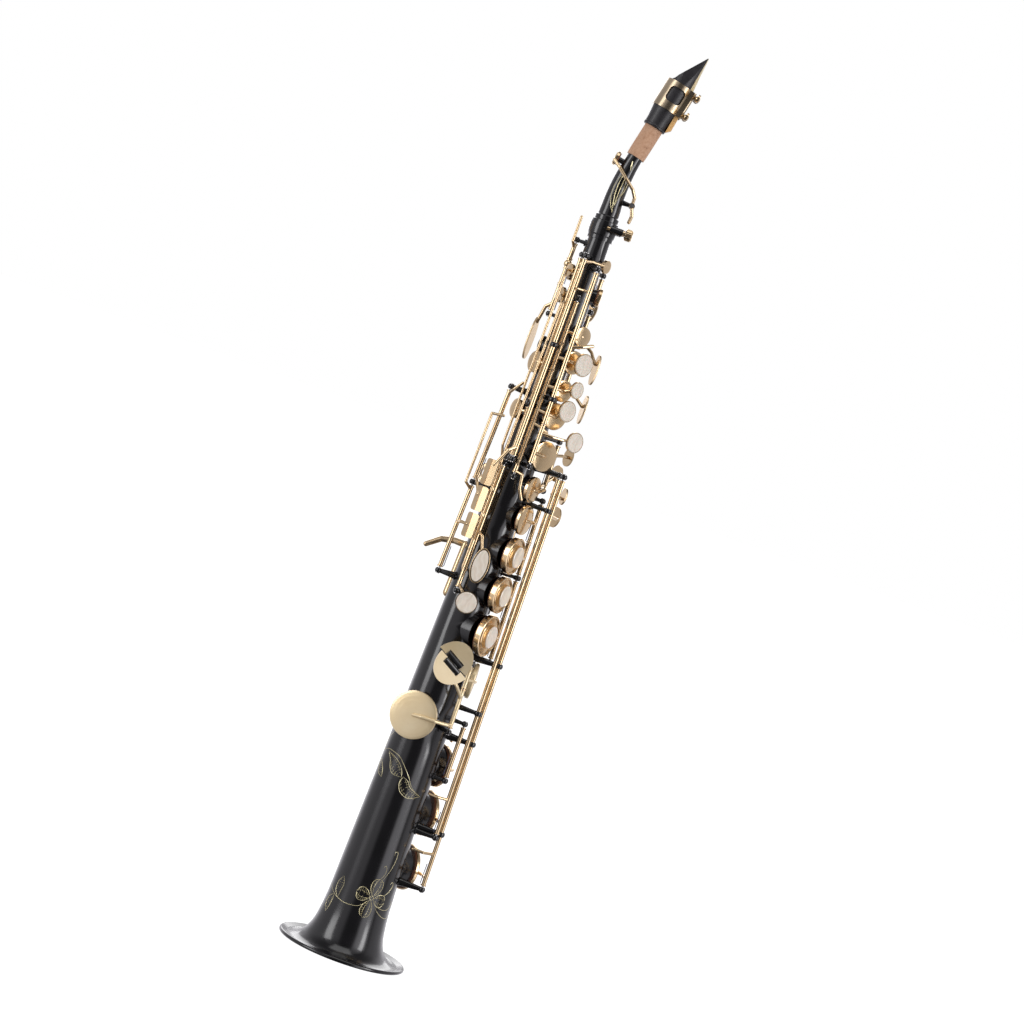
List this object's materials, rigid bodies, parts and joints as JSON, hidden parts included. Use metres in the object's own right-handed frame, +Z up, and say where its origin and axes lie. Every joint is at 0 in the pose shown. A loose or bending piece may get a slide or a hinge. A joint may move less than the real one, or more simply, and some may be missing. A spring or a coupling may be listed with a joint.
{
  "type": "soprano saxophone",
  "caption": "Straight soprano saxophone with a flared bell, pivoted padded keys on posts, a turning curved neck, a corked joint, mouthpiece, reed and ligature.",
  "frame": {"origin": "centre of the bell rim's lower plane, on the body axis", "axes": "+Z up the straight body to the neck, -Y the front where the stack keys lie, +X the player's left"},
  "size_m": [0.0928, 0.0928, 0.674],
  "materials": {
    "black_lacquer": "gloss",
    "black_plastic": "gloss",
    "blued_steel": "polished",
    "cane": "satin",
    "cork": "matte",
    "hard_rubber": "satin",
    "key_lacquer": "polished",
    "ligature_lacquer": "satin",
    "pad_leather": "satin",
    "pearl": "gloss",
    "steel": "polished"
  },
  "bodies": {
    "root": {"body_tube": "black_lacquer", "neck_receiver": "black_lacquer", "posts": "black_lacquer", "pivot_rods": "steel", "needle_springs": "blued_steel", "strap_ring": "key_lacquer", "thumb_hook": "key_lacquer", "thumb_rest": "black_plastic"},
    "neck": {"neck_tube": "black_lacquer", "neck_cork": "cork", "neck_octave_pin": "steel"},
    "neck_screw": {"neck_screw": "key_lacquer"},
    "neck_octave_key": {"neck_octave_key": "key_lacquer"},
    "mouthpiece": {"mouthpiece": "hard_rubber", "reed": "cane", "ligature": "ligature_lacquer"},
    "ligature_screw_upper": {"ligature_screw_upper": "ligature_lacquer"},
    "ligature_screw_lower": {"ligature_screw_lower": "ligature_lacquer"},
    "low_c_roller": {"low_c_roller": "black_plastic"},
    "low_eb_roller": {"low_eb_roller": "black_plastic"},
    "low_bb_key": {"low_bb_key": "key_lacquer", "low_bb_pad": "pad_leather"},
    "low_b_key": {"low_b_key": "key_lacquer", "low_b_pad": "pad_leather"},
    "low_csharp_key": {"low_csharp_key": "key_lacquer", "low_csharp_pad": "pad_leather"},
    "low_c_key": {"low_c_key": "key_lacquer", "low_c_pad": "pad_leather"},
    "low_eb_key": {"low_eb_key": "key_lacquer"},
    "d_key": {"d_key": "key_lacquer", "d_pad": "pad_leather", "d_pearl": "pearl"},
    "e_key": {"e_key": "key_lacquer", "e_pad": "pad_leather", "e_pearl": "pearl"},
    "f_key": {"f_key": "key_lacquer", "f_pad": "pad_leather", "f_pearl": "pearl"},
    "fsharp_key": {"fsharp_key": "key_lacquer"},
    "gsharp_key": {"gsharp_key": "key_lacquer"},
    "g_key": {"g_key": "key_lacquer"},
    "front_f_key": {"front_f_key": "key_lacquer"},
    "link_key": {"link_key": "key_lacquer"},
    "a_key": {"a_key": "key_lacquer"},
    "bis_key": {"bis_key": "key_lacquer"},
    "b_key": {"b_key": "key_lacquer"},
    "c_key": {"c_key": "key_lacquer"},
    "side_bb_key": {"side_bb_key": "key_lacquer"},
    "side_c_key": {"side_c_key": "key_lacquer"},
    "high_e_key": {"high_e_key": "key_lacquer"},
    "side_bb_lever": {"side_bb_lever": "key_lacquer"},
    "side_c_lever": {"side_c_lever": "key_lacquer"},
    "high_g_key": {"high_g_key": "key_lacquer"},
    "high_fsharp_key": {"high_fsharp_key": "key_lacquer"},
    "csharp_lever": {"csharp_lever": "key_lacquer"},
    "palm_d_key": {"palm_d_key": "key_lacquer"},
    "palm_eb_key": {"palm_eb_key": "key_lacquer"},
    "palm_f_key": {"palm_f_key": "key_lacquer"},
    "octave_thumb_lever": {"octave_thumb_lever": "key_lacquer"},
    "body_octave_key": {"body_octave_key": "key_lacquer"}
  },
  "joints": [
    {"name": "neck_turn", "type": "hinge", "parent": "root", "child": "neck", "pos_m": [0, 0, 0.539], "axis": [0, 0, 1], "range_deg": [-150, 150]},
    {"name": "neck_screw_turn", "type": "hinge", "parent": "root", "child": "neck_screw", "pos_m": [-0.00395, -0.01449, 0.539], "axis": [0.5446, -0.8387, 0], "continuous": true},
    {"name": "neck_octave_pivot", "type": "hinge", "parent": "neck", "child": "neck_octave_key", "pos_m": [0.00719, -0.01107, 0.55991], "axis": [-0.8387, -0.5446, 0], "range_deg": [0, 5]},
    {"name": "mouthpiece_slide", "type": "slide", "parent": "neck", "child": "mouthpiece", "axis": [0.1179, -0.1815, 0.9763], "range_m": [-0.001, 0.009]},
    {"name": "ligature_screw_lower_turn", "type": "hinge", "parent": "mouthpiece", "child": "ligature_screw_lower", "pos_m": [0.01543, -0.02235, 0.63016], "axis": [0.8097, 0.5867, 0.0113], "continuous": true},
    {"name": "ligature_screw_upper_turn", "type": "hinge", "parent": "mouthpiece", "child": "ligature_screw_upper", "pos_m": [0.01717, -0.02504, 0.64461], "axis": [0.8097, 0.5867, 0.0113], "continuous": true},
    {"name": "low_c_roller_spin", "type": "hinge", "parent": "low_c_key", "child": "low_c_roller", "pos_m": [-0.02696, -0.02359, 0.21768], "axis": [0.652, -0.5679, -0.5023], "continuous": true},
    {"name": "low_eb_roller_spin", "type": "hinge", "parent": "low_eb_key", "child": "low_eb_roller", "pos_m": [-0.02466, -0.02249, 0.22238], "axis": [0.5567, -0.6634, -0.5], "continuous": true},
    {"name": "low_bb_key_pivot", "type": "hinge", "parent": "root", "child": "low_bb_key", "pos_m": [0.0187, -0.03112, 0.213], "axis": [-0.0088, 0.0146, 0.9999], "range_deg": [0, 9]},
    {"name": "low_b_key_pivot", "type": "hinge", "parent": "root", "child": "low_b_key", "pos_m": [0.014, -0.03002, 0.232], "axis": [-0.008, 0.0171, 0.9998], "range_deg": [0, 9]},
    {"name": "low_csharp_key_pivot", "type": "hinge", "parent": "root", "child": "low_csharp_key", "pos_m": [0.01058, -0.02619, 0.159], "axis": [0.0045, -0.011, -0.9999], "range_deg": [0, 10]},
    {"name": "low_c_key_pivot", "type": "hinge", "parent": "root", "child": "low_c_key", "pos_m": [-0.00645, -0.02587, 0.1895], "axis": [-0.0048, -0.0192, -0.9998], "range_deg": [0, 9]},
    {"name": "low_eb_key_pivot", "type": "hinge", "parent": "root", "child": "low_eb_key", "pos_m": [-0.00634, -0.02543, 0.21225], "axis": [-0.0048, -0.0192, -0.9998], "range_deg": [0, 9]},
    {"name": "d_key_pivot", "type": "hinge", "parent": "root", "child": "d_key", "pos_m": [0.01804, -0.02207, 0.24275], "axis": [0.0128, -0.0277, -0.9995], "range_deg": [0, 9]},
    {"name": "e_key_pivot", "type": "hinge", "parent": "root", "child": "e_key", "pos_m": [0.01767, -0.02128, 0.2715], "axis": [0.0128, -0.0277, -0.9995], "range_deg": [0, 9]},
    {"name": "f_key_pivot", "type": "hinge", "parent": "root", "child": "f_key", "pos_m": [0.01728, -0.02043, 0.30225], "axis": [0.0128, -0.0277, -0.9995], "range_deg": [0, 9]},
    {"name": "fsharp_key_pivot", "type": "hinge", "parent": "root", "child": "fsharp_key", "pos_m": [0.01694, -0.01971, 0.32825], "axis": [0.0128, -0.0277, -0.9995], "range_deg": [0, 9]},
    {"name": "gsharp_key_pivot", "type": "hinge", "parent": "root", "child": "gsharp_key", "pos_m": [0.01891, -0.01478, 0.37], "axis": [-0.0219, 0.0171, 0.9996], "range_deg": [0, 9]},
    {"name": "g_key_pivot", "type": "hinge", "parent": "root", "child": "g_key", "pos_m": [-0.01635, -0.01991, 0.38175], "axis": [0.001, 0.0174, 0.9998], "range_deg": [0, 9]},
    {"name": "front_f_key_pivot", "type": "hinge", "parent": "root", "child": "front_f_key", "pos_m": [-0.01627, -0.0187, 0.45125], "axis": [0.001, 0.0174, 0.9998], "range_deg": [0, 5]},
    {"name": "link_key_pivot", "type": "hinge", "parent": "root", "child": "link_key", "pos_m": [-0.01615, -0.01049, 0.37725], "axis": [0.0282, 0.0183, 0.9994], "range_deg": [0, 9]},
    {"name": "a_key_pivot", "type": "hinge", "parent": "root", "child": "a_key", "pos_m": [-0.01534, -0.00996, 0.406], "axis": [0.0282, 0.0183, 0.9994], "range_deg": [0, 9]},
    {"name": "bis_key_pivot", "type": "hinge", "parent": "root", "child": "bis_key", "pos_m": [-0.01483, -0.00963, 0.424], "axis": [0.0282, 0.0183, 0.9994], "range_deg": [0, 9]},
    {"name": "b_key_pivot", "type": "hinge", "parent": "root", "child": "b_key", "pos_m": [-0.01429, -0.00928, 0.443], "axis": [0.0282, 0.0183, 0.9994], "range_deg": [0, 9]},
    {"name": "c_key_pivot", "type": "hinge", "parent": "root", "child": "c_key", "pos_m": [-0.01358, -0.00882, 0.46825], "axis": [0.0282, 0.0183, 0.9994], "range_deg": [0, 9]},
    {"name": "side_bb_key_pivot", "type": "hinge", "parent": "root", "child": "side_bb_key", "pos_m": [-0.01825, -0.00444, 0.386], "axis": [0.029, 0.0303, 0.9991], "range_deg": [0, 10]},
    {"name": "side_c_key_pivot", "type": "hinge", "parent": "root", "child": "side_c_key", "pos_m": [-0.01608, -0.00217, 0.46075], "axis": [0.029, 0.0303, 0.9991], "range_deg": [0, 10]},
    {"name": "high_e_key_pivot", "type": "hinge", "parent": "root", "child": "high_e_key", "pos_m": [-0.02011, -0.00759, 0.44075], "axis": [-0.0287, -0.0187, -0.9994], "range_deg": [0, 9]},
    {"name": "side_bb_lever_pivot", "type": "hinge", "parent": "root", "child": "side_bb_lever", "pos_m": [-0.0219, 0.0165, 0.3085], "axis": [0.0261, -0.0197, 0.9995], "range_deg": [0, 8]},
    {"name": "side_c_lever_pivot", "type": "hinge", "parent": "root", "child": "side_c_lever", "pos_m": [-0.0201, 0.01515, 0.37725], "axis": [0.0261, -0.0197, 0.9995], "range_deg": [0, 8]},
    {"name": "high_g_key_pivot", "type": "hinge", "parent": "root", "child": "high_g_key", "pos_m": [-0.02212, -0.00272, 0.27625], "axis": [0.023, 0.0028, 0.9997], "range_deg": [0, 9]},
    {"name": "high_fsharp_key_pivot", "type": "hinge", "parent": "root", "child": "high_fsharp_key", "pos_m": [-0.02109, -0.00259, 0.32125], "axis": [0.023, 0.0028, 0.9997], "range_deg": [0, 9]},
    {"name": "csharp_lever_pivot", "type": "hinge", "parent": "root", "child": "csharp_lever", "pos_m": [0.02312, -0.00243, 0.2575], "axis": [0.0237, -0.0025, -0.9997], "range_deg": [0, 7]},
    {"name": "palm_d_key_pivot", "type": "hinge", "parent": "root", "child": "palm_d_key", "pos_m": [0.0177, -0.00376, 0.4345], "axis": [0.0337, -0.0072, -0.9994], "range_deg": [0, 10]},
    {"name": "palm_eb_key_pivot", "type": "hinge", "parent": "root", "child": "palm_eb_key", "pos_m": [0.01674, -0.00295, 0.4685], "axis": [0.0315, -0.0056, -0.9995], "range_deg": [0, 10]},
    {"name": "palm_f_key_pivot", "type": "hinge", "parent": "root", "child": "palm_f_key", "pos_m": [0.01478, -0.00396, 0.4975], "axis": [-0.0276, 0.0074, 0.9996], "range_deg": [0, 10]},
    {"name": "octave_thumb_lever_pivot", "type": "hinge", "parent": "root", "child": "octave_thumb_lever", "pos_m": [-0.00653, 0.014, 0.48225], "axis": [-0.0054, 0.0115, -0.9999], "range_deg": [0, 9]},
    {"name": "body_octave_key_pivot", "type": "hinge", "parent": "root", "child": "body_octave_key", "pos_m": [-0.00639, 0.01371, 0.50725], "axis": [0.0054, -0.0115, 0.9999], "range_deg": [0, 8]}
  ],
  "couplings": [
    {"joint": "fsharp_key_pivot", "follows": "f_key_pivot", "ratio": 1},
    {"joint": "link_key_pivot", "follows": "f_key_pivot", "ratio": 1},
    {"joint": "c_key_pivot", "follows": "b_key_pivot", "ratio": 1},
    {"joint": "side_bb_key_pivot", "follows": "side_bb_lever_pivot", "ratio": 1.25},
    {"joint": "side_c_key_pivot", "follows": "side_c_lever_pivot", "ratio": 1.25},
    {"joint": "low_csharp_key_pivot", "follows": "csharp_lever_pivot", "ratio": 1.4285},
    {"joint": "neck_octave_pivot", "follows": "octave_thumb_lever_pivot", "ratio": 0.5555}
  ]
}
